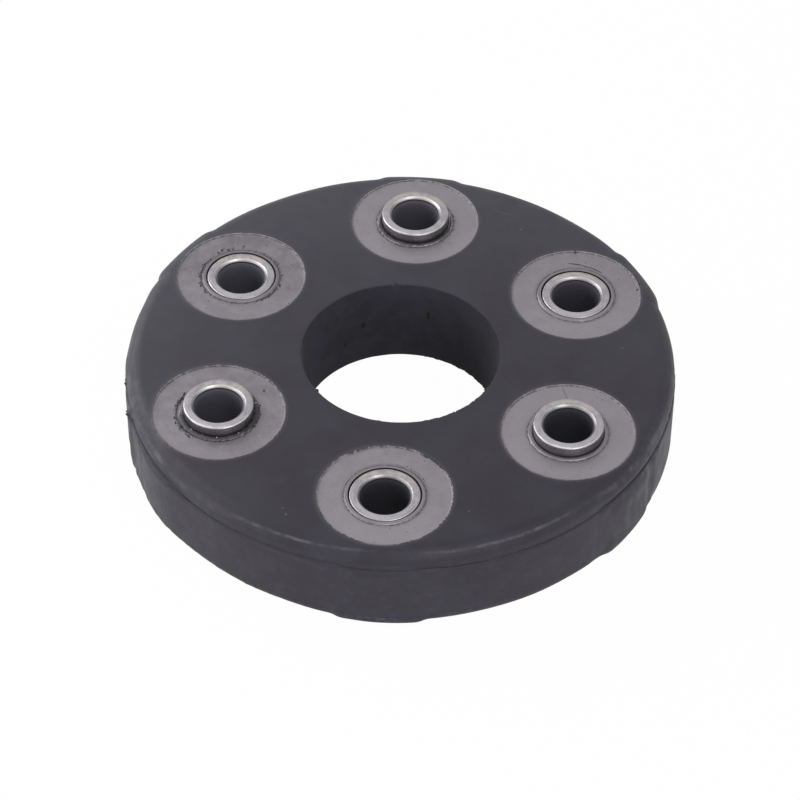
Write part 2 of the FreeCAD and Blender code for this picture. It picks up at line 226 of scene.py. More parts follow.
def inset_at(x, y, upper):
    """How far inside the outline a point lies, good down to the bend's own radius."""
    radius = np.hypot(x, y)
    bearing = bearing_at(x, y)
    turn = pad_turn(bearing)
    px, py = radius * np.cos(turn), radius * np.sin(turn)
    (bx, by), (rx, ry) = BEND_AT, ROOT_AT
    side = (rx - bx) * (py - by) - (ry - by) * (px - bx)
    bend = PAD_BEND - np.hypot(px - bx, py - by)
    root = np.hypot(px - rx, py - ry) - PAD_ROOT
    inset = np.where(side < 0, bend, root)
    inset = np.where(turn <= CREST_TURN, PAD_RADIUS - radius, inset)
    inset = np.where(turn >= ROOT_TURN, WALL_RADIUS - radius, inset)
    inset = np.where(radius < BEND_CENTRE - 1.0, PAD_BEND, inset)
    share = np.where(upper, pad_share(bearing), 1.0)
    return share * inset + (1 - share) * (WALL_RADIUS - radius)


def foot_size(bearing):
    """Rounding of the lower edge, which is sharper on the pad that faces the camera."""
    return FOOT - FRONT_FOOT_LESS * bell(bearing, FRONT, FRONT_FOOT_SPREAD)


def face_level(x, y, upper):
    """Height of the rubber's upper or lower face over a point, rounded down towards the wall."""
    size = SHOULDER if upper else foot_size(bearing_at(x, y))
    start = (WALL_SETBACK if upper else 0.0) + size
    deep = np.clip(start - (inset_at(x, y, upper) - WALL_CLEAR), 0.0, size)
    return TOP - size + np.sqrt(size ** 2 - deep ** 2)


# Feathered rubber edge round each collar: how far it laps over the bead, in mm, by side and sleeve.
FRINGE = {True: [0.16, 0.2, 0.16, 0.36, 0.55, 0.24], False: [0.2, 0.15, 0.25, 0.2, 0.15, 0.25]}


def fringe(number, upper, bearings):
    reach = FRINGE[upper][number]
    shift = number + (0 if upper else COUNT + 1)
    broad = round_wander(bearings, 3, shift + 1)
    teeth = round_wander(bearings, 26, shift + 2)
    fine = round_wander(bearings, 60, shift + 3)
    lap = reach * (0.45 + 0.5 * broad + 0.75 * teeth + 0.35 * fine)
    return np.maximum(lap, -0.3 * reach)


def collar_gap(x, y):
    """Distance from a point to the nearest collar's edge."""
    return np.min([np.hypot(x - cx, y - cy) - COLLAR for cx, cy in CENTRES], axis=0)


def film(x, y):
    """How far the rubber's face rises towards the nearest collar."""
    return FILM * bell(np.maximum(collar_gap(x, y), 0.0), 0.0, FILM_REACH)


# The opening's moulded edge is ragged between some bearings and torn in places: bearing, half width and
# depth of each tear.
RAGGED = {True: (280, 288, 338, 346), False: (15, 30, 75, 90)}
TEARS = {
    True: [
        (217.7, 0.9, -0.55), (332.3, 0.7, -0.4), (305.9, 0.9, 0.35), (96.6, 1, 0.45), (262, 0.8, -0.15),
    ],
    False: [],
}


def opening_radius(bearings, upper):
    rough = round_wander(bearings, 22, 31) + 0.6 * round_wander(bearings, 50, 32)
    radius = OPENING + 0.05 * round_wander(bearings, 9, 33) + 0.22 * between(bearings, *RAGGED[upper]) * rough
    for at, width, deep in TEARS[upper]:
        radius = radius + deep * bell(off_bearing(bearings, at), 0, width)
    return radius


def put_in_scene(name, data):
    made = bpy.data.objects.new(name, data)
    bpy.context.scene.collection.objects.link(made)
    return made


WELD = 0.0005


class Shell:
    """Points and faces of one mesh, gathered in patches that share their edge points."""

    def __init__(self):
        self.points = []
        self.faces = []
        self.size = 0

    def add(self, points):
        first = self.size
        self.points.append(np.asarray(points, float).reshape(-1, 3))
        self.size += len(self.points[-1])
        return np.arange(first, self.size)

    def band(self, one, two):
        """Quads between two closed rings of the same count."""
        for i in range(len(one)):
            j = (i + 1) % len(one)
            self.faces.append((one[i], one[j], two[j], two[i]))

    def bands(self, rings):
        made = [self.add(ring) for ring in rings]
        for one, two in zip(made, made[1:]):
            self.band(one, two)
        return made

    def build(self, name, sharp_deg, weld=WELD):
        """Make the object. Points closer than weld mm become one, and edges sharper than sharp_deg stay."""
        mesh = bpy.data.meshes.new(name)
        points = np.concatenate(self.points) * MM
        mesh.from_pydata(points.tolist(), [], [tuple(int(v) for v in f) for f in self.faces])
        work = bmesh.new()
        work.from_mesh(mesh)
        if weld:
            bmesh.ops.remove_doubles(work, verts=work.verts, dist=weld * MM)
        bmesh.ops.recalc_face_normals(work, faces=work.faces)
        work.to_mesh(mesh)
        work.free()
        mesh.shade_smooth()
        mesh.set_sharp_from_angle(angle=math.radians(sharp_deg))
        return put_in_scene(name, mesh)


def mesh_points(mesh):
    flat = np.zeros(len(mesh.vertices) * 3)
    mesh.vertices.foreach_get("co", flat)
    return flat.reshape(-1, 3) / MM


def set_points(mesh, points):
    mesh.vertices.foreach_set("co", (points * MM).ravel())
    mesh.update()


def set_attributes(piece, **attributes):
    """Give a piece's points numbers that its material reads: one each, or one for all."""
    for name, numbers in attributes.items():
        layer = piece.data.attributes.new(name, "FLOAT", "POINT")
        numbers = np.broadcast_to(np.asarray(numbers, np.float32), len(piece.data.vertices))
        layer.data.foreach_set("value", np.ascontiguousarray(numbers))


def ring3(xy, level):
    return np.column_stack([xy, np.broadcast_to(level, (len(xy),))])


# How open the groove over the parting line is and how dark its painted shade, by bearing.
GROOVE = [
    (0, 0.5), (180, 0.5), (198, 1.1), (217, 1.1), (221, 1), (235, 0.6), (243, 0.25), (258, 0.18), (263, 0.35),
    (274, 0.35), (277, 0.15), (283, 0.55), (308, 0.5), (314, 0.25), (319, 0.3), (323, 0.8), (342, 0.75),
    (352, 0.6), (360, 0.5),
]
# How far the parting line runs above or below its even level, by bearing.
DRIFT = [
    (0, 0), (180, 0), (196, 0), (204, -0.35), (217, -0.55), (220, -0.85), (232, -0.75), (243, -0.15),
    (262, 0), (281, -0.1), (285, -0.45), (314, -0.4), (321, 0), (360, 0),
]


def by_bearing(bearing, table, column=1):
    columns = np.array(table).T
    return np.interp(bearing, columns[0], columns[column])


def drift(bearing):
    return by_bearing(bearing, DRIFT) + 0.05 * round_wander(bearing, 16, 52)


def front_share(bearing):
    """1 in the middle of the pad that faces the camera, where the parting line follows the pad."""
    return bell(bearing, FRONT, FRONT_PAD_SPREAD, 4)


def groove_share(bearing):
    return np.clip(by_bearing(bearing, GROOVE) * (1 + 0.35 * round_wander(bearing, 14, 51)), 0.1, 1.0)


# Rubber moulding. Rings of points that follow the edges of a face: inset of each from the outline,
# and distance and count of each round a collar and round the opening.
OUTLINE_RINGS = (3.0, 3.4, 3.8, 4.2, 4.6, 5.0, 5.6, 6.4)
COLLAR_RINGS = ((0.25, 360), (0.6, 300), (1.1, 220), (1.8, 160))
OPENING_RINGS = ((0.7, 400), (1.1, 320), (1.7, 240))
FACE_SPACING = 1.35
LOWER_COARSER = 1.7
ROW_RATIO = 0.866


def face_patch(shell, upper, sign, outer, holes, opening):
    """One flat face of the rubber as a triangulated skin between its edge rings."""
    loops = [outer] + holes + [opening]
    points = []
    edges = []
    owners = []
    for number, loop in enumerate(loops):
        first = len(points)
        points += loop.tolist()
        owners += [number] * len(loop)
        edges += [(first + i, first + (i + 1) % len(loop)) for i in range(len(loop))]
    # Each group of points inside the face, with the least distance they keep from the earlier ones.
    extra = []
    coarse = 1.0 if upper else LOWER_COARSER
    for inset in OUTLINE_RINGS:
        bearings = np.arange(0, 360, 0.5 * coarse) + inset * 7.7
        share = pad_share(bearings) if upper else 1.0
        extra.append((polar(ring_radius(bearings, inset + WALL_CLEAR, share), bearings), 0.3 * coarse))
    round_holes = [(centre, COLLAR, COLLAR_RINGS, 11, 0.2) for centre in CENTRES]
    round_holes.append(((0.0, 0.0), OPENING, OPENING_RINGS, 13, 0.25))
    for centre, radius, rings, twist, clear in round_holes:
        for gap, count in rings:
            bearings = np.arange(0, 360, 360 / count * coarse) + gap * twist
            extra.append((polar(radius + gap, bearings) + centre, clear * coarse))
    spacing = FACE_SPACING * coarse
    rows = []
    for row in range(int(2 * PAD_RADIUS / (spacing * ROW_RATIO)) + 1):
        y = -PAD_RADIUS + row * spacing * ROW_RATIO
        xs = np.arange(-PAD_RADIUS, PAD_RADIUS, spacing) + (row % 2) * spacing / 2
        rows.append(np.column_stack([xs, np.full(len(xs), y)]))
    extra.append((np.concatenate(rows), 0.62 * spacing))
    for group, clear in extra:
        x, y = group[:, 0], group[:, 1]
        inside = inset_at(x, y, upper) > SEAM_INSET + WALL_CLEAR + 0.15
        inside &= collar_gap(x, y) > 0.12
        inside &= np.hypot(x, y) > OPENING + OPENING_CHAMFER + 0.15
        group = group[inside]
        tree = KDTree(len(points))
        for i, p in enumerate(points):
            tree.insert((p[0], p[1], 0.0), i)
        tree.balance()
        points += [p for p in group.tolist() if tree.find((p[0], p[1], 0.0))[2] > clear]
    found = delaunay_2d_cdt([Vector(p) for p in points], edges, [], 1, 1e-7)
    origin = [group[0] for group in found[3]]
    flat = np.array([points[i] for i in origin])
    added = shell.add(ring3(flat, sign * (face_level(*flat.T, upper) + film(*flat.T))))
    faces = np.array(found[2])
    owner = np.array([owners[v] if v < len(owners) else -1 for v in origin])
    middles = flat[faces].mean(axis=1)
    for number, loop in enumerate(loops[1:], 1):
        off, edge = middles - SEAT_MIDDLES[number - 1], loop - SEAT_MIDDLES[number - 1]
        reach = np.interp(bearing_at(*off.T), bearing_at(*edge.T), np.hypot(*edge.T), period=360)
        empty = (owner[faces] == number).all(axis=1) & (np.hypot(*off.T) < reach)
        faces, middles = faces[~empty], middles[~empty]
    shell.faces += [tuple(added[v] for v in face) for face in faces]


# Rings of the wall just above the parting line: level and share of the pads' height. Below them, the
# groove's and the lower wall's rings: inset, share of the groove's depth, level, and share of the pads'
# height where the flank is steep and where it is gentle.
ABOVE_GROOVE = ((8.1, 0.8), (7.75, 0.45), (GROOVE_TOP + 0.05, 0.1))
BELOW_GROOVE = (
    (WALL_SETBACK, 0.15, GROOVE_TOP - 0.02, 0.0, 0.0), (WALL_SETBACK, 0.6, GROOVE_TOP - 0.2, 0.0, 0.0),
    (WALL_SETBACK, 0.6, GROOVE_LOW + 0.05, 0.0, 0.0), (0.2, 0.0, GROOVE_LOW - 0.12, 0.0, 0.0),
    (0.1, 0.0, GROOVE_LOW - 0.35, 0.1, 0.08), (0.04, 0.0, GROOVE_LOW - 0.55, 0.45, 0.16),
    (0.0, 0.0, GROOVE_LOW - 0.8, 0.85, 0.26), (0.0, 0.0, GROOVE_LOW - 1.5, 1.0, 0.5),
    (0.0, 0.0, GROOVE_LOW - 2.3, 1.0, 0.74), (0.0, 0.0, GROOVE_LOW - 3.2, 1.0, 0.92),
)
GENTLE_AT, GENTLE_SPREAD = 330, 16


def make_rubber():
    shell = Shell()
    around, about, inner = even_turns(ROUND_STEPS), even_turns(HOLE_STEPS), even_turns(OPENING_STEPS)

    def outline_ring(inset, level, share=1.0):
        return ring3(polar(ring_radius(around, inset + WALL_CLEAR, share), around), level)

    high = pad_share(around)
    seams = {True: outline_ring(SEAM_INSET, TOP, high)[:, :2], False: outline_ring(SEAM_INSET, -TOP)[:, :2]}
    rows = []
    start = math.asin((WALL_SETBACK + SHOULDER - SEAM_INSET) / SHOULDER)
    for step in np.linspace(0, 1, 15):
        turn = start + (math.pi / 2 - start) * step
        inset = WALL_SETBACK + SHOULDER * (1 - math.sin(turn))
        rows.append(outline_ring(inset, TOP - SHOULDER + SHOULDER * math.cos(turn), high))
    front = 0.8 * front_share(around)
    for level, part in ABOVE_GROOVE:
        rows.append(outline_ring(WALL_SETBACK, level + drift(around), np.maximum(part * high, front)))
    depth = GROOVE_DEPTH * groove_share(around)
    sloped = bell(around, GENTLE_AT, GENTLE_SPREAD, 4)
    for inset, cut, level, steep, gentle in BELOW_GROOVE:
        part = np.maximum(steep + (gentle - steep) * sloped, front)
        rows.append(outline_ring(inset + cut * depth, level + drift(around) * (level > GROOVE_LOW - 1), part))
    for level in np.linspace(GROOVE_LOW - 4.2, -TOP + FOOT, 12):
        rows.append(outline_ring(0.0, level))
    foot = foot_size(around)
    stop = np.arcsin((foot - SEAM_INSET) / foot)
    for step in np.linspace(0, 1, 9)[1:]:
        turn = math.pi / 2 + (stop - math.pi / 2) * step
        rows.append(outline_ring(foot * (1 - np.sin(turn)), -TOP + foot - foot * np.cos(turn)))
    shell.bands(rows)

    holes = {True: [], False: []}
    seat, under = COLLAR + SEAT_CLEAR, FLANGE_UNDER - SEAT_CLEAR
    for number, centre in enumerate(CENTRES):
        wall = polar(seat, about) + centre
        hub = polar(HUB + SEAT_CLEAR, about) + centre
        halves = []
        for upper, sign in SIDES:
            edge = polar(seat - fringe(number, upper, about), about) + centre
            level = face_level(*edge.T, upper) + film(*edge.T)
            holes[upper].append(edge)
            halves.append([
                ring3(edge, sign * level), ring3(edge, sign * np.minimum(level - 0.04, TOP + 0.02)),
                ring3(wall, sign * (np.minimum(level - 0.06, TOP) - 0.03)),
                ring3(wall, sign * under), ring3(hub, sign * under),
            ])
        shell.bands(halves[0] + halves[1][::-1])

    depth = TOP - OPENING_CHAMFER
    torn = depth - RIM_DEPTH
    rims, halves = {}, []
    for upper, sign in SIDES:
        edge = opening_radius(inner, upper)
        rims[upper] = polar(edge + OPENING_CHAMFER, inner)
        halves.append([
            ring3(rims[upper], sign * (TOP + film(*rims[upper].T))),
            ring3(polar(edge + RIM_BEVEL, inner), sign * (TOP - RIM_BEVEL)),
        ] + [
            ring3(polar(OPENING + (edge - OPENING) * ((level - torn) / RIM_DEPTH), inner), sign * level)
            for level in (depth, depth - 0.5, torn)
        ])
    middle = [ring3(polar(OPENING, inner), level) for level in np.linspace(depth - 3, 3 - depth, 8)]
    shell.bands(halves[0] + middle + halves[1][::-1])

    for upper, sign in SIDES:
        face_patch(shell, upper, sign, seams[upper], holes[upper], rims[upper])
    return shell.build("rubber_moulding", 40)


rubber = make_rubber()


# Pale line on the shoulder, partly scuffing and partly a painted highlight along the shoulder's roll: by
# bearing, its run from where the shoulder starts to bend, its half width and its strength.
SCUFF_AND_HIGHLIGHT = [
    (0, 4, 0.7, 0.25), (60, 3.4, 0.5, 0.2), (120, 3.4, 0.5, 0.2), (185, 4, 1.1, 0.5), (200, 4.2, 1.05, 0.6),
    (217, 4.3, 1, 0.6), (220, 5.2, 1, 0.4), (236, 5, 0.9, 0.15), (240, 3.6, 0.5, 0.35),
    (244, 3.35, 0.48, 0.6), (258, 3.3, 0.45, 0.55), (262, 2.9, 0.45, 0.35), (270, 2.6, 0.5, 0.15),
    (278, 2.9, 0.5, 0.12), (284, 3.4, 0.45, 0.35), (292, 3.35, 0.45, 0.6), (303, 3.3, 0.48, 0.65),
    (309, 3.2, 0.5, 0.35), (318, 3.4, 0.7, 0.15), (325, 3.8, 0.9, 0.4), (336, 4.2, 1, 0.5),
    (348, 4.7, 0.9, 0.5), (360, 4, 0.7, 0.25),
]
# Uneven places of the wall below and above the parting line: bearing, half width in degrees and how
# far out (in, if below 0).
LOWER_BUMPS = [
    (192, 2, 0.22), (199.8, 2, 0.7), (205.5, 4.4, -0.66), (201.1, 1.2, -0.4), (206, 1.2, 0.2),
    (236, 6, -0.08), (250, 7, -0.24), (264, 3, -0.12), (290, 9, -0.12), (318.3, 1.2, -0.14), (311, 6, -0.16),
    (330, 4, -0.1), (336.3, 3.4, -0.45), (337, 0.95, -0.42), (338.2, 0.8, -0.26), (334.4, 0.9, 0.1),
    (358, 0.9, -0.6),
]
UPPER_BUMPS = [
    (22, 1.5, -0.42), (27, 12, 0.14), (43, 6, 0.34), (82, 12, 0.12), (121, 9, -0.26), (158, 4, 0.1),
    (163, 3, 0.3), (185.5, 3.5, 0.34),
]
# Nicks and flash on the parting line, given in the same way.
NICKS = [
    (189, 0.4, 0.45), (193.5, 0.5, -0.18), (198.1, 0.75, 1.4), (199.6, 0.7, 0.45), (186, 2.6, 0.2),
    (349.8, 0.5, -0.4), (353.6, 0.4, -0.25), (357.4, 0.35, -0.3), (359.2, 0.35, -0.38), (1.2, 0.5, -0.3),
    (4, 0.5, -0.22),
]
# The left pad runs out gently on its near side, between these bearings, and the others are blurred.
LEFT_PAD_FROM = 210.0
RUN_OUT = (215.0, 229.0)
FLANK_BLUR = 4.0
# Radii from which a point can be the wall's, and the wall's or the shoulder's.
WALL_FROM = 66.5
SHOULDER_FROM = 60
# Bearing and half width in degrees of the ragged foot, of where the groove's painted shade spreads wider, of
# two darker bands on the wall, of the painted pale sheen on the walls and of the blue places.
RAGGED_FOOT = (226, 26)
GROOVE_SHADE_SPREAD = (207, 11)
DARK_BAND_NEAR = (297, 15)
DARK_BAND_LEFT = (212, 30)
PALE_ENDS = ((203, 14), (338, 14))
BLUE_FRONT = ((271, 5), (288, 4))


BODY_BOX = [[corner[axis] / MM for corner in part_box("rubber_body")] for axis in (0, 1)]


def dress_rubber(piece):
    """Wear the moulding's points and give them what its material reads."""
    points = mesh_points(piece.data)
    x, y, z = points.T.copy()
    radius = np.hypot(x, y)
    bearing = bearing_at(x, y)
    upper = z > GROOVE_TOP
    inset = inset_at(x, y, upper) - WALL_CLEAR

    # Ridge under the pale line, which is scuffing and a painted highlight, and slight hollows.
    bend = SHOULDER * np.arctan2(WALL_SETBACK + SHOULDER - inset, np.maximum(z - TOP + SHOULDER, 0.0) + 1e-6)
    run = np.where(radius > OPENING + 20, bend, -9.0)
    line = by_bearing(bearing, SCUFF_AND_HIGHLIGHT) + 0.12 * round_wander(bearing, 18, 41)
    line = line + 0.08 * round_wander(bearing, 50, 45)
    strength = by_bearing(bearing, SCUFF_AND_HIGHLIGHT, 3) * np.clip(0.85 + 0.8 * round_wander(bearing, 11, 46), 0.3, 1.2)
    sink = 0.05 * (1 + wander(points, 14.0, 42)) * (np.abs(z) > TOP - 1.0) * (radius > OPENING + 2)
    sink = sink * smooth_step(collar_gap(x, y), 0.5, 3.0)
    points[:, 2] += 0.02 * bell(run, line, 0.35) * upper * strength - np.sign(z) * sink

    # How far each point of the wall is pulled in.
    swell = 0.03 * (1 + wander(points, 9.0, 43)) * smooth_step(radius, WALL_FROM, WALL_FROM + 2)
    edge = smooth_step(z, GROOVE_LOW - 0.9, GROOVE_LOW) * (z < GROOVE_LOW + 0.05)
    pull = np.maximum(0.0, round_wander(bearing, 70, 44)) * 0.15 * edge
    band = between(z, GROOVE_LOW - 1.1, GROOVE_LOW - 0.3, GROOVE_TOP + 0.2, GROOVE_TOP + 1.0)
    below = 1 - smooth_step(z, GROOVE_LOW - 1.0, GROOVE_LOW - 0.4)
    above = smooth_step(z, GROOVE_TOP, GROOVE_TOP + 0.8)
    for places, where in ((NICKS, band), (LOWER_BUMPS, below), (UPPER_BUMPS, above)):
        for at, width, out in places:
            pull = pull - out * where * bell(off_bearing(bearing, at), 0, width)
    plain = outline_radius(bearing, 0.0)
    turns = np.linspace(-FLANK_BLUR, FLANK_BLUR, 9)
    blurred = np.mean([outline_radius(bearing + turn, 0.0) for turn in turns], axis=0) - plain
    left_pad = PAD_RADIUS + (WALL_RADIUS - PAD_RADIUS) * smooth_step(bearing, *RUN_OUT)
    left_pad = np.maximum(left_pad - plain, 0.0) * below
    on_left = (bearing > LEFT_PAD_FROM) & (bearing < RUN_OUT[1])
    pull = pull - np.where(on_left, left_pad, smooth_step(z, -9.0, -6.0) * below * blurred)
    foot = bell(z + TOP, 2.2, 1.3) * bell(bearing, *RAGGED_FOOT)
    pull = pull + 0.16 * foot * (round_wander(bearing, 45, 47) + 0.6 * round_wander(bearing, 90, 48))
    pull = (swell + pull) * (radius > WALL_FROM)
    points[:, 0] = np.clip(x - x / radius * pull, *BODY_BOX[0])
    points[:, 1] = np.clip(y - y / radius * pull, *BODY_BOX[1])
    set_points(piece.data, points)

    # Painted shade in the groove and darker bands on the wall, painted light on the faces, and the rest of
    # what the material reads.
    outer = radius > SHOULDER_FROM
    # Painted shade in the parting-line groove, widest at the left, and two darker bands on the wall.
    spread = 0.28 * bell(bearing, *GROOVE_SHADE_SPREAD, 4)
    off = z - GROOVE_LOW - drift(bearing) + 0.25 * spread
    soot = groove_share(bearing) * between(off, -0.3 - spread, -0.05 - 0.7 * spread, 0.02, 0.35)
    soot += 0.16 * bell(bearing, *DARK_BAND_NEAR, 4) * between(off, 0.3, 0.8, 2.4, 3.6)
    soot += 0.12 * bell(bearing, *DARK_BAND_LEFT, 4) * between(run, 0.2, 1.4, 2.4, 3.4)
    wall = smooth_step(inset, WALL_SETBACK + 3.2, WALL_SETBACK) * outer
    # Painted light on the faces: lighter towards the back, the left and the rim, and less on the wall.
    dust = (2 + 0.11 * y - 0.04 * x + 0.0018 * (radius ** 2 - 1500)) / 16
    set_attributes(
        piece, scuff=strength, soot=soot * outer, wall=wall, level=z, inside=radius < OPENING + 0.25,
        scuff_gap=np.where(upper, np.abs(run - line) / by_bearing(bearing, SCUFF_AND_HIGHLIGHT, 2), 9.0),
        ends=np.maximum(bell(bearing, *PALE_ENDS[0]), 0.8 * bell(bearing, *PALE_ENDS[1])),
        front=bell(bearing, *BLUE_FRONT[0]) + 0.7 * bell(bearing, *BLUE_FRONT[1]),
        near_steel=bell(np.maximum(collar_gap(x, y), 0.0), 0.0, 0.4) * (np.abs(z) > TOP - 1.5),
        dust=np.clip(dust, 0, 1) * (1 - 0.3 * wall),
        # lit: how far the opening's wall is painted as lit rather than shaded
        lit=np.clip(0.5 - x / OPENING / 2 + 0.15 * y / OPENING, 0.0, 1.0),
    )


dress_rubber(rubber)


# Turned steel pieces.
def soften(profile, size):
    """The closed profile with each corner replaced by a small three point round."""
    out = []
    corners = [np.array(corner) for corner in profile]
    for before, here, after in zip(corners[-1:] + corners[:-1], corners, corners[1:] + corners[:1]):
        back, on = before - here, after - here
        reach = min(size, 0.35 * np.hypot(*back), 0.35 * np.hypot(*on))
        first = here + back / np.hypot(*back) * reach
        last = here + on / np.hypot(*on) * reach
        out += [first, (first + last + 2 * here) / 4, last]
    return out


def divide(profile, longest):
    """The same profile with extra points on its long straight runs."""
    out = []
    for here, there in zip(profile, profile[1:] + profile[:1]):
        parts = max(1, int(math.ceil(np.hypot(*(there - here)) / longest)))
        out += [here + (there - here) * k / parts for k in range(parts)]
    return out


def lathe(name, profile, form, number, flipped, shift, tone):
    """A turned piece round a sleeve's middle. Returns it with its points' levels and distances from there."""
    size, longest = form
    profile = divide(soften(profile, size), longest)
    shell = Shell()
    centre = CENTRES[number]
    turns = even_turns(LATHE_STEPS)
    wobble = 0.012 * round_wander(turns, 5, shift)
    rings = [ring3(polar(radius + wobble, turns) + centre, -z if flipped else z) for radius, z in profile]
    rings = shell.bands(rings)
    shell.band(rings[-1], rings[0])
    piece = shell.build(name, 28)
    x, y, z = mesh_points(piece.data).T
    reach = np.hypot(x - centre[0], y - centre[1])
    set_attributes(piece, reach=reach, far=(y - centre[1]) / reach, left=(centre[0] - x) / reach, tone=tone)
    return piece, z, reach


# Painted light, by sleeve: how brightly each sleeve's bore and each upper collar's face are painted.
BORE_PAINTED_LIGHT = [0.55, 0.9, 0.95, 0.85, 0.2, 0.25]
COLLAR_PAINTED_LIGHT = [0.5, 0.7, 0.0, 0.15, 0.55, 0.75]


def make_sleeve(number):
    low, high = (corner.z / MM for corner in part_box(f"sleeve_{number + 1}"))
    profile = [
        (BORE, low + MOUTH_CHAMFER), (MOUTH, low),
        (SLEEVE - RIM_CHAMFER, low), (SLEEVE, low + RIM_CHAMFER),
        (SLEEVE, high - RIM_CHAMFER), (SLEEVE - RIM_CHAMFER, high),
        (MOUTH, high), (BORE, high - MOUTH_CHAMFER),
    ]
    name = f"turned_sleeve_{number + 1}"
    piece, level, reach = lathe(name, profile, SLEEVE_FORM, number, False, number, BORE_PAINTED_LIGHT[number])
    set_attributes(
        piece, depth=np.minimum(level - low, high - level), raised=high > TOP + 1, bore=reach < BORE + 0.2,
        outer=reach > SLEEVE - 0.12)
    return piece


def make_collar(number, upper):
    """A collar. The slot between its lip and a sleeve that stands out is nearly filled."""
    filled = upper == (number % 2 == 1)
    # A nearly filled slot gets less of the painted shade.
    slot, slot_shade_share = (0.12, 0.35) if filled else (2 * LIP_SLOPE, 1.0)
    inner, outer = SLEEVE + 0.01, COLLAR - SEAT_CLEAR
    profile = [
        (inner, HUB_END), (HUB, HUB_END), (HUB, FLANGE_UNDER), (outer, FLANGE_UNDER), (outer, TOP),
        (COLLAR - BEAD_TOP, TOP), (BEAD_START, FLANGE_FACE), (LIP_FOOT, FLANGE_FACE),
        (SLEEVE + LIP_WIDTH, TOP), (SLEEVE + LIP_SLOPE, TOP), (inner, TOP - slot),
    ]
    name = f"pressed_{'upper' if upper else 'lower'}_collar_{number + 1}"
    piece, *_ = lathe(name, profile, COLLAR_FORM, number, not upper, number + 10, COLLAR_PAINTED_LIGHT[number])
    set_attributes(piece, open_slot=slot_shade_share)
    return piece


sleeves = [make_sleeve(i) for i in range(COUNT)]
upper_collars = [make_collar(i, True) for i in range(COUNT)]
lower_collars = [make_collar(i, False) for i in range(COUNT)]


# Moulding flash left round the feet of some sleeves, as low ragged strips: sleeve, first and last
# bearing about it, radii along the strip, width, height and how pale it is.
STRIPS = [
    (3, 186, 330, (9.5, 9.4, 9.4), 1.15, 0.12, 0.1), (3, 312, 398, (9.3, 9.5, 9.5), 1.2, 0.28, 0),
    (3, 148, 246, (10.75, 10.5, 10), 0.45, 0.25, 0), (1, 165, 378, (9.1, 9.2, 9.45), 0.5, 0.16, 0),
    (2, 146, 215, (10.6, 10.5, 10.3), 0.3, 0.12, 0), (2, 305, 340, (10.2, 10.4, 10.3), 0.3, 0.12, 0),
    (0, 55, 103, (11.05, 11.3, 12.2), 0.2, 0.14, 0), (4, 36, 61, (16.5, 16.55, 16.4), 0.4, 0.14, 0),
    (1, 190, 350, (9.5, 9.4, 9.45), 0.9, 0.08, 0.12),
]
# Crumbs: sleeve, or 6 for the opening's rim, first and last bearing, radius, spread, count and
# largest size.
CRUMBS = [
    (2, 138, 232, 10.7, 0.35, 46, 0.22), (2, 92, 136, 11.2, 0.5, 15, 0.26),
    (2, 296, 350, 10.5, 0.35, 34, 0.2), (2, 232, 296, 10.3, 0.25, 20, 0.15), (2, -5, 75, 10.5, 0.3, 26, 0.17),
    (3, 146, 250, 10.9, 0.4, 60, 0.24), (3, 250, 330, 10.2, 0.3, 34, 0.18),
    (3, 330, 392, 10.3, 0.2, 18, 0.24), (1, 180, 300, 10.2, 0.3, 34, 0.15),
    (1, 300, 385, 10.2, 0.4, 26, 0.18), (4, 30, 80, 10.6, 0.4, 12, 0.15), (5, 180, 330, 10.3, 0.3, 20, 0.13),
    (2, 0, 360, 13.5, 2.6, 26, 0.13), (3, 0, 360, 13.5, 2.6, 22, 0.13), (4, 0, 360, 13.5, 2.6, 14, 0.12),
    (0, 0, 360, 13.5, 2.6, 14, 0.13), (1, 0, 360, 13.5, 2.6, 20, 0.12), (5, 0, 360, 13.5, 2.6, 14, 0.12),
    (3, 10, 190, 16.5, 0.25, 60, 0.15), (2, -60, 70, 16.5, 0.3, 40, 0.14), (4, 0, 360, 16.6, 0.2, 60, 0.13),
    (1, 60, 200, 16.5, 0.2, 30, 0.13), (0, 0, 360, 16.6, 0.2, 50, 0.13), (5, 0, 360, 16.6, 0.2, 40, 0.13),
    (6, 0, 360, 25.25, 0.1, 50, 0.12), (6, 285, 340, 25.2, 0.12, 26, 0.2), (6, 15, 105, 25.2, 0.12, 36, 0.2),
]
# Single bits: sleeve, bearing, radius, size, and 1 where it is pale.
BITS = [
    (6, 98.4, 25.1, 0.36, 0), (6, 93, 25.15, 0.3, 0), (6, 305.9, 25.2, 0.3, 0), (6, 217, 25.1, 0.3, 0),
    (3, 228.5, 9.05, 0.17, 1), (3, 273.7, 9.1, 0.2, 1), (3, 309, 9.1, 0.2, 1), (3, 22.6, 9.6, 0.3, 1),
    (3, 325.7, 13.1, 0.16, 1), (3, 39.2, 13.4, 0.3, 0), (0, 93, 16.4, 0.32, 0), (0, 12, 16, 0.28, 0),
    (0, 321, 16.9, 0.26, 0), (2, 122, 11.5, 0.34, 0), (2, 276, 12.1, 0.16, 1), (5, 120, 10.4, 0.3, 0),
]


def seat_level(radius):
    """Level of a collar's face at a distance from its sleeve's middle, or of the rubber's rim."""
    ends = [SLEEVE + LIP_WIDTH, LIP_FOOT, BEAD_START, COLLAR - BEAD_TOP, OPENING, OPENING + OPENING_CHAMFER]
    return np.interp(radius, ends, [TOP, FLANGE_FACE, FLANGE_FACE, TOP, TOP - OPENING_CHAMFER, TOP])


# Latitudes of a crumb's rings, and how many sides it has.
CRUMB_RINGS = np.radians([-62, -18, 26, 68])
CRUMB_SIDES = 7
BALL = np.concatenate([ring3(polar(math.cos(v), even_turns(CRUMB_SIDES)), math.sin(v)) for v in CRUMB_RINGS])


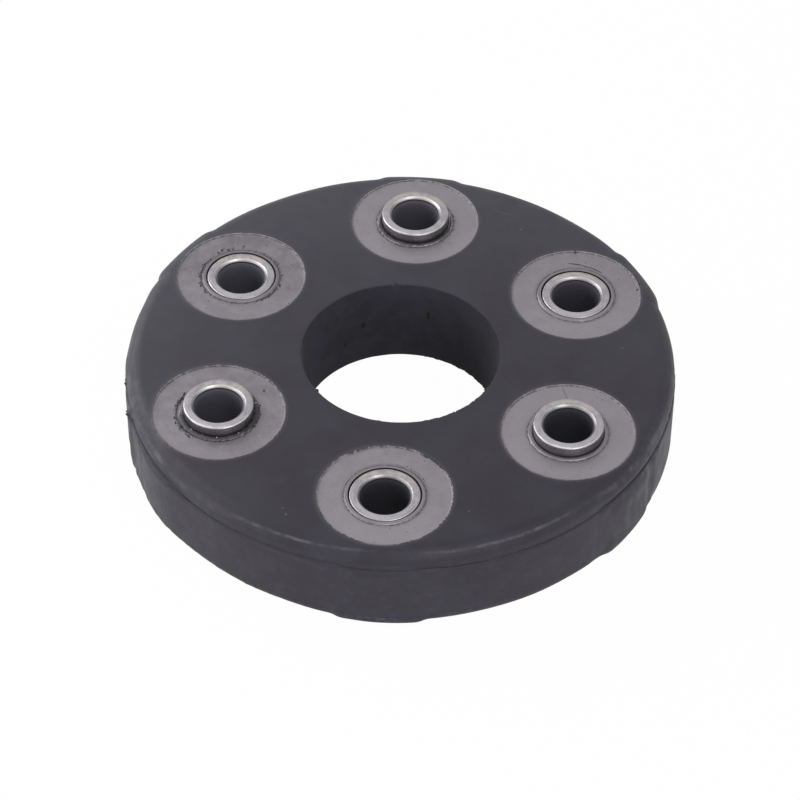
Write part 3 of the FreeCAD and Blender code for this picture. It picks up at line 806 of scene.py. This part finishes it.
def add_bit(shell, number, bearing, radius, size, seed):
    """One uneven crumb that rests on a collar or on the opening's rim. Returns its count of points."""
    swell = 1 + 0.55 * wander(BALL, 0.9, seed)
    points = BALL * swell[:, None] * size * np.array([1.0, 0.8 + 0.3 * math.sin(seed), 0.65])
    points += np.array([*(polar(radius, bearing) + SEAT_MIDDLES[number]), seat_level(radius) + 0.3 * size])
    rings = shell.bands(list(points.reshape(len(CRUMB_RINGS), CRUMB_SIDES, 3)))
    shell.faces += [tuple(rings[0][::-1]), tuple(rings[-1])]
    return len(BALL)


# A strip's section: share of the half width to either side, and share of the height.
STRIP_SECTION = ((-1.0, -0.3), (-0.8, 0.8), (0.2, 1.0), (0.9, 0.45), (1.0, -0.3))
STRIP_STEP = 0.8


def add_strip(shell, number, first, last, radii, width, height, seed):
    """A ragged strip round a sleeve, thinning out at both ends. Returns its count of points."""
    bearings = np.arange(first, last, STRIP_STEP)
    along = np.linspace(0, 1, len(bearings))
    ends = np.sqrt(np.clip(np.minimum(along, 1 - along) * 12, 0.02, 1))
    rough = round_wander(bearings, 14, seed) + 0.7 * round_wander(bearings, 34, seed + 0.5)
    middle = np.interp(along, [0, 0.5, 1], radii) + 0.12 * round_wander(bearings, 5, seed + 0.2)
    half = width / 2 * ends * (1 + 0.55 * rough)
    rise = height * ends * (0.8 + 0.6 * round_wander(bearings, 20, seed + 0.7))
    rings = []
    for side, lift in STRIP_SECTION:
        radius = np.maximum(middle + side * half, SLEEVE + SEAT_CLEAR)
        level = np.maximum(seat_level(radius), seat_level(middle)) + lift * rise
        rings.append(shell.add(ring3(polar(radius, bearings) + CENTRES[number], level)))
    for one, two in zip(rings, rings[1:] + rings[:1]):
        shell.faces += [(one[i], one[i + 1], two[i + 1], two[i]) for i in range(len(bearings) - 1)]
    shell.faces += [tuple(ring[0] for ring in rings), tuple(ring[-1] for ring in rings[::-1])]
    return len(rings) * len(bearings)


CRUMB_SEED = 5


def make_flash():
    """All the strips and crumbs, as one piece. The seeds only pick the shape of each."""
    shell = Shell()
    pale = []
    for seed, (*strip, light) in enumerate(STRIPS):
        pale += [light] * add_strip(shell, *strip, seed + 3)
    chance = np.random.default_rng(CRUMB_SEED)
    for number, first, last, radius, spread, count, largest in CRUMBS:
        low, high = (OPENING + 0.1, OPENING + 2) if number == COUNT else (SLEEVE + 0.1, COLLAR - 0.1)
        for k in range(count):
            bearing = chance.uniform(first, last)
            far = min(max(chance.normal(radius, spread * 0.6), low), high)
            size = largest * chance.uniform(0.35, 1)
            pale += [0.0] * add_bit(shell, number, bearing, far, size, k + 0.37 * number)
    for seed, (number, bearing, radius, size, light) in enumerate(BITS):
        pale += [light] * add_bit(shell, number, bearing, radius, size, seed + 60)
    piece = shell.build("moulding_flash", 50, 0.0)
    set_attributes(piece, pale=pale)
    return piece


flash = make_flash()


# Materials.
class Nodes:
    """Short calls for the nodes of a tree. A value that is a socket is linked."""

    def __init__(self, tree):
        self.tree = tree

    def new(self, kind, **settings):
        node = self.tree.nodes.new("ShaderNode" + kind)
        for name, setting in settings.items():
            setattr(node, name, setting)
        return node

    def feed(self, socket, value):
        if isinstance(value, bpy.types.NodeSocket):
            self.tree.links.new(value, socket)
        else:
            socket.default_value = value

    def put(self, node, *values, **named):
        """Feed a node's inputs, in order or by name."""
        for socket, value in zip(node.inputs, values):
            self.feed(socket, value)
        for name, value in named.items():
            self.feed(node.inputs[name.replace("_", " ")], value)
        return node

    def math(self, operation, one, two=0.0):
        return self.put(self.new("Math", operation=operation), one, two).outputs["Value"]

    def times(self, first, *values):
        for value in values:
            first = self.math("MULTIPLY", first, value)
        return first

    def seen(self):
        """1 for the rays that show the background: from the camera, off metal or through glass."""
        rays = self.new("LightPath").outputs
        seen = self.math("MAXIMUM", rays["Is Camera Ray"], rays["Is Glossy Ray"])
        return self.math("MAXIMUM", seen, rays["Is Transmission Ray"])


class Finish(Nodes):
    """A node material. Sizes are in mm."""

    def __init__(self, name):
        self.material = bpy.data.materials.new(name)
        self.material.use_nodes = True
        super().__init__(self.material.node_tree)
        self.shader = self.tree.nodes["Principled BSDF"]
        self.place = self.new("TexCoord").outputs["Object"]

    def attribute(self, name):
        return self.new("Attribute", attribute_name=name).outputs["Fac"]

    def scaled(self, x, y, z):
        """Place on the object, scaled along each axis."""
        return self.put(self.new("Mapping"), Vector=self.place, Scale=(x, y, z)).outputs["Vector"]

    def noise(self, size, detail=3.0, rough=0.55, where=None):
        """Noise whose waves are about this size."""
        node = self.put(self.new("TexNoise"), Scale=1.0 / (size * MM), Detail=detail, Roughness=rough)
        return self.put(node, Vector=where or self.place).outputs["Fac"]

    def mark(self, x, y, turn, length, width):
        """1 inside a soft oval mark at a place, turned by some degrees, and 0 outside it."""
        place = self.put(
            self.new("Mapping", vector_type="TEXTURE"), Vector=self.place, Location=(x * MM, y * MM, 0.0),
            Rotation=(0.0, 0.0, math.radians(turn)), Scale=(length * MM, width * MM, 1.0))
        size = self.put(self.new("VectorMath", operation="LENGTH"), place.outputs["Vector"]).outputs["Value"]
        return self.ramp(self.math("ADD", size, self.times(self.noise(0.5, 2.0), 0.8)), 1.6, 0.9)

    def ramp(self, value, low, high, to_low=0.0, to_high=1.0):
        """A smooth step from to_low, where the value is low, to to_high, where it is high."""
        node = self.new("MapRange", interpolation_type="SMOOTHSTEP")
        return self.put(node, value, low, high, to_low, to_high).outputs["Result"]

    def near(self, value, middle, far, close):
        """1 where the value is close to the middle and 0 where it is far from it."""
        return self.ramp(self.math("ABSOLUTE", self.math("SUBTRACT", value, middle)), far, close)

    def layers(self, colour, *layers):
        """The colour with tints laid over it. Each layer is a tint and the shares that make its strength."""
        for tint, *shares in layers:
            node = self.new("Mix", data_type="RGBA")
            sockets = [socket for socket in node.inputs if socket.enabled]
            for socket, value in zip(sockets, (self.times(*shares), colour, tint)):
                self.feed(socket, (*value, 1.0) if isinstance(value, tuple) else value)
            colour = [socket for socket in node.outputs if socket.enabled][0]
        return colour

    def relief(self, *layers):
        """Bumps laid on one another, each with its height, strength and distance."""
        normal = None
        for height, strength, distance in layers:
            node = self.put(self.new("Bump"), Height=height, Strength=strength, Distance=distance * MM)
            if normal:
                self.feed(node.inputs["Normal"], normal)
            normal = node.outputs["Normal"]
        return normal

    def finish(self, **values):
        self.put(self.shader, **values)
        return self.material


# Marks on the rubber's upper face: x, y, turn, half length, half width and strength.
RUBBER_MARKS = [
    (-23.2, -58.4, 60, 0.5, 0.32, 0.4), (-24.1, -56.5, 0, 0.4, 0.3, 0.25), (27.9, 48.9, 0, 0.45, 0.3, 0.4),
    (23.3, 55.2, -18, 3.2, 0.14, 0.3), (55.7, 6, 8, 0.9, 0.14, 0.6), (20.6, -53.9, 0, 0.3, 0.22, 0.5),
]
# Dark spots on the opening's wall: x, y, turn, half length, half width, lowest and highest level.
WALL_MARKS = [
    (-11.4, 22.3, 27, 0.7, 1.2, -0.7, 0.5), (5.4, 24.4, -12, 0.5, 1.2, 1.6, 3.6),
    (-15.9, 19.3, 40, 0.4, 1.2, -5, -4.2),
]
# A brown scratch on sleeve 6's collar, and how strong it is.
COLLAR_MARK = (42.0, -11.5, -70, 3.6, 0.16)
COLLAR_MARK_SHARE = 0.55


def rubber_finish():
    f = Finish("moulded_rubber")
    wall, level, inside, front, lit = map(f.attribute, ("wall", "level", "inside", "front", "lit"))
    broad = f.noise(16.0)
    cloud = f.noise(5.0, 4.0, 0.6)
    grain = f.noise(0.45, 2.0)
    streak = f.noise(1.3, 3.0, 0.6, f.scaled(1.0, 1.0, 0.25))
    # Pale streaks on the left and right walls: painted light, laid on in streaks.
    pale = f.times(wall, f.attribute("ends"), f.ramp(streak, 0.42, 0.72))
    blue = f.times(f.ramp(level, -5.5, -7.5), f.ramp(f.noise(5.0, 2.0), 0.4, 0.6), front, wall)
    hem = f.times(f.ramp(level, -8.9, -9.4), f.ramp(level, -10.4, -9.9), front)
    dirt = f.times(f.ramp(level, -8.2, -9.6), f.ramp(f.noise(0.9, 3.0, 0.7), 0.46, 0.58))
    # Pale line on the shoulder: scuffing and a painted highlight.
    line = f.times(f.ramp(f.attribute("scuff_gap"), 1.25, 0.3), f.attribute("scuff"))
    # The opening's wall: painted lighter where lit is high, and painted darker as shade where it is low.
    hollow = f.layers(
        (0.025, 0.0235, 0.033),
        ((0.035, 0.033, 0.041), f.ramp(cloud, 0.4, 0.65)),
        ((0.034, 0.032, 0.05), f.ramp(broad, 0.5, 0.62), lit),
    )
    hollow = f.layers((0.01, 0.008, 0.014), (hollow, f.ramp(lit, 0.0, 0.7, 0.35, 1.0)))
    spots = [
        f.times(f.mark(*oval), f.ramp(level, low - 0.3, low), f.ramp(level, high + 0.3, high), inside)
        for *oval, low, high in WALL_MARKS]
    scratches = [
        f.times(f.mark(*oval), strength, f.ramp(level, TOP - 0.7, TOP - 0.3))
        for *oval, strength in RUBBER_MARKS]
    colour = f.layers(
        (0.0195, 0.0165, 0.026),
        ((0.0275, 0.0245, 0.036), f.ramp(broad, 0.35, 0.68)),
        # painted light on the faces, lighter towards the back and the left
        ((0.056, 0.0525, 0.068), f.attribute("dust")),
        ((0.038, 0.035, 0.05), f.ramp(cloud, 0.5, 0.75), 0.45),
        ((0.052, 0.048, 0.062), f.ramp(grain, 0.55, 0.8), 0.22),
        ((0.1, 0.1, 0.13), pale, 0.55),
        ((0.034, 0.034, 0.08), blue, 0.45),
        ((0.052, 0.049, 0.064), f.ramp(f.noise(2.2, 4.0, 0.7), 0.5, 0.7), wall, 0.3),
        ((0.09, 0.088, 0.12), hem, f.ramp(f.noise(3.0, 2.0), 0.4, 0.6), wall, 0.5),
        ((0.007, 0.007, 0.007), dirt, wall, 0.7),
        (hollow, inside),
        *[((0.003, 0.003, 0.003), spot) for spot in spots],
        ((0.135, 0.13, 0.145), line, f.ramp(f.noise(3.2, 4.0, 0.65), 0.36, 0.62, 0.2, 1.0)),
        ((0.085, 0.08, 0.088), f.attribute("near_steel"), 0.45),
        *[((0.17, 0.16, 0.17), scratch) for scratch in scratches],
        # painted shade in the parting-line groove, and two darker bands on the wall
        ((0.004, 0.004, 0.006), f.attribute("soot"), 0.92),
    )
    rough = f.math("MAXIMUM", f.ramp(cloud, 0.3, 0.75, 0.5, 0.62), f.times(inside, 0.9))
    relief = f.relief((grain, 0.35, 0.06), (f.noise(2.6), 0.3, 0.12), (f.times(streak, pale), 0.35, 0.08))
    return f.finish(Base_Color=colour, Roughness=rough, Specular_IOR_Level=0.36, Normal=relief)


def collar_finish():
    f = Finish("pressed_collar_steel")
    reach, far = f.attribute("reach"), f.attribute("far")
    grain = f.noise(0.32, 3.0, 0.65)
    cloud = f.noise(3.4, 4.0, 0.6)
    stain = f.noise(6.0, 3.0, 0.6)
    torn = f.noise(1.1, 3.0, 0.6)
    # Painted light: each collar face's own brightness, lighter on its near side.
    tone = f.math("ADD", f.attribute("tone"), f.ramp(far, 0.2, -0.9, 0.0, 0.35))
    # Painted shade: a thin dark line on the bead's inner edge. Painted highlight: a pale crescent on the
    # bead. Both are stronger on the far side.
    edge = f.times(f.near(reach, BEAD_START + 0.14, 0.22, 0.06), f.ramp(torn, 0.36, 0.6, 0.1, 0.85))
    rim = f.times(f.ramp(reach, BEAD_START + 0.2, COLLAR - BEAD_TOP), f.ramp(torn, 0.62, 0.4))
    faded = f.ramp(f.math("ADD", reach, f.times(torn, 0.7)), COLLAR - 0.35, COLLAR + 0.3)
    # Painted shade in the slot beside the sleeve, and in a thin line at the lip's foot.
    slot = f.ramp(reach, SLEEVE + LIP_SLOPE + 0.16, SLEEVE + LIP_SLOPE - 0.02)
    shade = f.times(f.near(reach, LIP_FOOT, 1.3, 0.2), f.ramp(cloud, 0.3, 0.65, 0.1, 0.35))
    foot = f.times(f.near(reach, LIP_FOOT + 0.1, 0.34, 0.05), f.ramp(torn, 0.35, 0.6, 0.15, 0.75))
    colour = f.layers(
        (0.172, 0.16, 0.18),
        ((0.235, 0.219, 0.24), f.ramp(cloud, 0.3, 0.72)),
        ((0.29, 0.273, 0.298), tone, 0.8),
        ((0.22, 0.185, 0.175), f.ramp(stain, 0.54, 0.74), 0.4),
        ((0.36, 0.34, 0.36), f.ramp(grain, 0.5, 0.72), 0.28),
        ((0.1, 0.088, 0.095), f.ramp(grain, 0.45, 0.25), 0.36),
        ((0.05, 0.043, 0.046), edge, f.ramp(far, 0.0, 0.6, 0.12, 0.8)),
        ((0.34, 0.32, 0.33), rim, f.ramp(far, -0.2, 0.5, 0.2, 0.6)),
        ((0.075, 0.07, 0.076), faded, f.ramp(far, 0.6, 0.1, 0.1, 0.65)),
        ((0.02, 0.017, 0.018), slot, f.attribute("open_slot")),
        ((0.1, 0.09, 0.098), shade),
        ((0.055, 0.05, 0.054), foot),
        ((0.12, 0.085, 0.07), f.mark(*COLLAR_MARK), COLLAR_MARK_SHARE),
    )
    bead = f.times(f.ramp(reach, BEAD_START - 0.1, BEAD_START + 0.15), 0.7)
    rough = f.math("MAXIMUM", f.ramp(cloud, 0.3, 0.7, 0.46, 0.6), bead)
    return f.finish(Base_Color=colour, Metallic=1.0, Roughness=rough, Normal=f.relief((grain, 0.3, 0.05)))


def sleeve_finish():
    f = Finish("turned_sleeve_steel")
    reach, far, depth, tone, bore = map(f.attribute, ("reach", "far", "depth", "tone", "bore"))
    rings = f.noise(0.12, 2.0, 0.5, f.scaled(0.0, 0.0, 1.0))
    turned = f.put(f.new("CombineXYZ"), X=f.times(reach, MM), Y=f.times(far, 0.3 * MM)).outputs[0]
    turned = f.noise(0.3, 3.0, 0.6, turned)
    cloud = f.noise(2.5, 4.0, 0.6)
    grain = f.noise(0.3, 2.0)
    # Painted light on the end: lighter on the near left side, a glint on the outer edge of raised sleeves, a
    # warm highlight on the far side of the mouth. Painted shade on the near side of the mouth.
    near = f.times(f.ramp(far, 0.1, -0.9), f.ramp(f.attribute("left"), -0.9, 0.5, 0.5, 1.0))
    glint = f.times(f.ramp(reach, SLEEVE - 0.8, SLEEVE - 0.3), near, f.attribute("raised"))
    far_mouth_highlight = f.times(f.ramp(reach, MOUTH + 0.05, MOUTH - 0.15), f.ramp(far, 0.3, 0.8))
    near_mouth_shade = f.times(f.ramp(reach, MOUTH + 0.1, MOUTH - 0.15), f.ramp(far, 0.4, -0.4))
    # Painted light in the bore, lighter near its mouth.
    pale = f.times(f.ramp(f.math("ADD", depth, cloud), 3.3, 1.4), f.ramp(tone, 0.4, 0.9, 0.15, 0.6))
    # The outer wall, painted darker further from the end, as shade down by the collar.
    skin = f.layers(
        (0.17, 0.157, 0.172),
        ((0.28, 0.262, 0.285), f.ramp(grain, 0.35, 0.65)),
        ((0.12, 0.11, 0.12), f.ramp(depth, 1.6, 2.9)),
    )
    # The bore painted dark as shade, with painted light near the mouth and a painted dark ring just below the
    # mouth chamfer.
    deep = f.layers(
        (0.045, 0.045, 0.056),
        ((0.17, 0.17, 0.205), tone),
        ((0.25, 0.24, 0.28), pale),
        ((0.05, 0.045, 0.05), f.near(depth, MOUTH_CHAMFER + 0.1, 0.3, 0.1)),
    )
    colour = f.layers(
        (0.3, 0.287, 0.31),
        ((0.4, 0.38, 0.4), f.ramp(cloud, 0.3, 0.7)),
        ((0.5, 0.48, 0.51), near, 0.6),
        # warm painted light on the far side of the end
        ((0.44, 0.4, 0.38), f.ramp(far, 0.4, 0.95), f.ramp(cloud, 0.4, 0.62)),
        ((0.55, 0.53, 0.54), f.ramp(grain, 0.5, 0.75), 0.45),
        ((0.17, 0.157, 0.162), f.ramp(grain, 0.45, 0.25), 0.6),
        ((0.15, 0.14, 0.145), f.ramp(turned, 0.5, 0.3), 0.75),
        ((0.7, 0.68, 0.7), glint, f.ramp(cloud, 0.35, 0.6, 0.4, 0.95)),
        ((0.68, 0.63, 0.58), far_mouth_highlight, f.ramp(tone, 0.3, 0.8, 0.2, 0.85)),
        ((0.17, 0.15, 0.155), near_mouth_shade, 0.8),
        (skin, f.attribute("outer")),
        (deep, bore),
    )
    rough = f.math("MAXIMUM", f.ramp(cloud, 0.3, 0.7, 0.34, 0.45), f.times(bore, 0.75))
    relief = f.relief((rings, 0.15, 0.03), (turned, 0.4, 0.03), (grain, 0.2, 0.03))
    return f.finish(Base_Color=colour, Metallic=1.0, Roughness=rough, Normal=relief)


def flash_finish():
    f = Finish("rubber_flash")
    cloud = f.noise(0.8)
    mottled = ((0.04, 0.035, 0.04), f.ramp(cloud, 0.35, 0.65))
    colour = f.layers((0.012, 0.01, 0.013), mottled, ((0.55, 0.53, 0.55), f.attribute("pale")))
    rough = f.ramp(cloud, 0.3, 0.7, 0.5, 0.7)
    return f.finish(Base_Color=colour, Roughness=rough, Normal=f.relief((cloud, 0.4, 0.08)))


def cord_finish():
    f = Finish("wound_cord")
    turns = f.noise(0.5, 2.0, 0.5, f.scaled(0.12, 0.12, 1.0))
    fibre = f.noise(0.25)
    wound = ((0.62, 0.56, 0.42), f.ramp(turns, 0.35, 0.65))
    colour = f.layers((0.42, 0.36, 0.25), wound, ((0.7, 0.65, 0.52), f.ramp(fibre, 0.5, 0.8), 0.4))
    rough = f.ramp(fibre, 0.3, 0.7, 0.7, 0.9)
    return f.finish(Base_Color=colour, Roughness=rough, Normal=f.relief((turns, 0.6, 0.15)))


RUBBER = rubber_finish()
COLLAR_STEEL = collar_finish()
SLEEVE_STEEL = sleeve_finish()
CORD = cord_finish()
FLASH = flash_finish()


def coat(piece, material):
    piece.data.materials.clear()
    piece.data.materials.append(material)


def dress(piece, material, slot, *nodes):
    coat(piece, material)
    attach(piece, "root")
    if nodes:
        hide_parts(*nodes)


dress(rubber, RUBBER, "rubber", "rubber_body")
dress(flash, FLASH, "rubber")
for i in range(COUNT):
    dress(sleeves[i], SLEEVE_STEEL, "sleeve_steel", f"sleeve_{i + 1}")
    dress(upper_collars[i], COLLAR_STEEL, "collar_steel", f"upper_collar_{i + 1}")
    dress(lower_collars[i], COLLAR_STEEL, "collar_steel", f"lower_collar_{i + 1}")

# The frame's own nodes, the hidden ones too, by a word in their name.
KINDS = {
    "rubber": RUBBER, "sleeve": SLEEVE_STEEL, "collar": COLLAR_STEEL, "spacer": COLLAR_STEEL, "cord": CORD,
}
for name, node in frame["nodes"].items():
    coat(node, next(material for kind, material in KINDS.items() if kind in name))


# Floor, which shows white to the camera, keeps a faint shadow and can be seen only from above.
FLOOR_GAP = 0.00002
FLOOR_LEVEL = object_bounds()[0][2] - FLOOR_GAP
FLOOR_REACH = 3.0
FLOOR_GLOW = 0.985  # the rest is the lit floor, which carries the shadow
WHITE = (1.0, 1.0, 1.0, 1.0)


def make_floor():
    mesh = bpy.data.meshes.new("floor")
    far = FLOOR_REACH
    corners = [(x, y, FLOOR_LEVEL) for x, y in ((-far, -far), (far, -far), (far, far), (-far, far))]
    mesh.from_pydata(corners, [], [(0, 1, 2, 3)])
    f = Finish("floor_white")
    f.finish(Base_Color=(0.8, 0.8, 0.8, 1.0), Roughness=0.9)
    glow = f.put(f.new("Emission"), Color=WHITE, Strength=1.0).outputs[0]
    lit = f.put(f.new("MixShader"), f.times(f.seen(), FLOOR_GLOW), f.shader.outputs[0], glow).outputs[0]
    beneath, clear = f.new("NewGeometry").outputs["Backfacing"], f.new("BsdfTransparent").outputs[0]
    f.put(f.tree.nodes["Material Output"], f.put(f.new("MixShader"), beneath, lit, clear).outputs[0])
    mesh.materials.append(f.material)
    floor = put_in_scene("floor", mesh)


make_floor()


AMBIENT = 0.45
# Round soft lamps that face the disc: name, place in metres, width in metres and watts.
LAMPS = [
    ("back_left", (-0.34, 0.18, 0.22), 0.25, 0.85), ("low_left", (-0.75, -0.35, 0.2), 0.5, 2.1),
    ("low_front", (0.3, -0.85, 0.25), 0.5, 1.6), ("front_right", (0.4, -0.56, 0.65), 0.3, 1.6),
]


def make_light():
    world = bpy.data.worlds.new("studio")
    bpy.context.scene.world = world
    world.use_nodes = True
    w = Nodes(world.node_tree)
    level = w.put(w.new("MapRange"), Value=w.seen(), To_Min=AMBIENT, To_Max=1.0).outputs["Result"]
    w.put(w.tree.nodes["Background"], Color=WHITE, Strength=level)
    for name, place, width, watts in LAMPS:
        lamp = bpy.data.lights.new(name, "AREA")
        lamp.shape, lamp.size, lamp.energy = "DISK", width, watts
        holder = put_in_scene(name, lamp)
        holder.location = place
        holder.rotation_euler = Vector(place).to_track_quat("Z", "Y").to_euler()


make_light()

# Camera at the photograph's place, worked out from the outline and the six sleeves.
LENS = 146.88
CAMERA_AZIMUTH = 4.125
CAMERA_ELEVATION = 44.569
CAMERA_ROLL = 0.3625
CAMERA_DISTANCE = 811.9
CAMERA_AIM = (1.124, -16.987, FLANGE_FACE)
SENSOR = 36.0
NEAREST_SEEN = 0.05


def make_camera():
    data = bpy.data.cameras.new("camera")
    data.lens = LENS
    data.sensor_width = SENSOR
    data.clip_start = NEAREST_SEEN
    camera = put_in_scene("camera", data)
    turn, rise = math.radians(CAMERA_AZIMUTH), math.radians(CAMERA_ELEVATION)
    back = Vector((math.sin(turn) * math.cos(rise), -math.cos(turn) * math.cos(rise), math.sin(rise)))
    right = Vector((math.cos(turn), math.sin(turn), 0.0))
    axes = Matrix((right, back.cross(right), back)).transposed().to_4x4()
    place = (Vector(CAMERA_AIM) + back * CAMERA_DISTANCE) * MM
    roll = Matrix.Rotation(math.radians(CAMERA_ROLL), 4, "Z")
    camera.matrix_world = Matrix.Translation(place) @ axes @ roll
    bpy.context.scene.camera = camera


make_camera()
bpy.context.scene.view_settings.view_transform = "Standard"
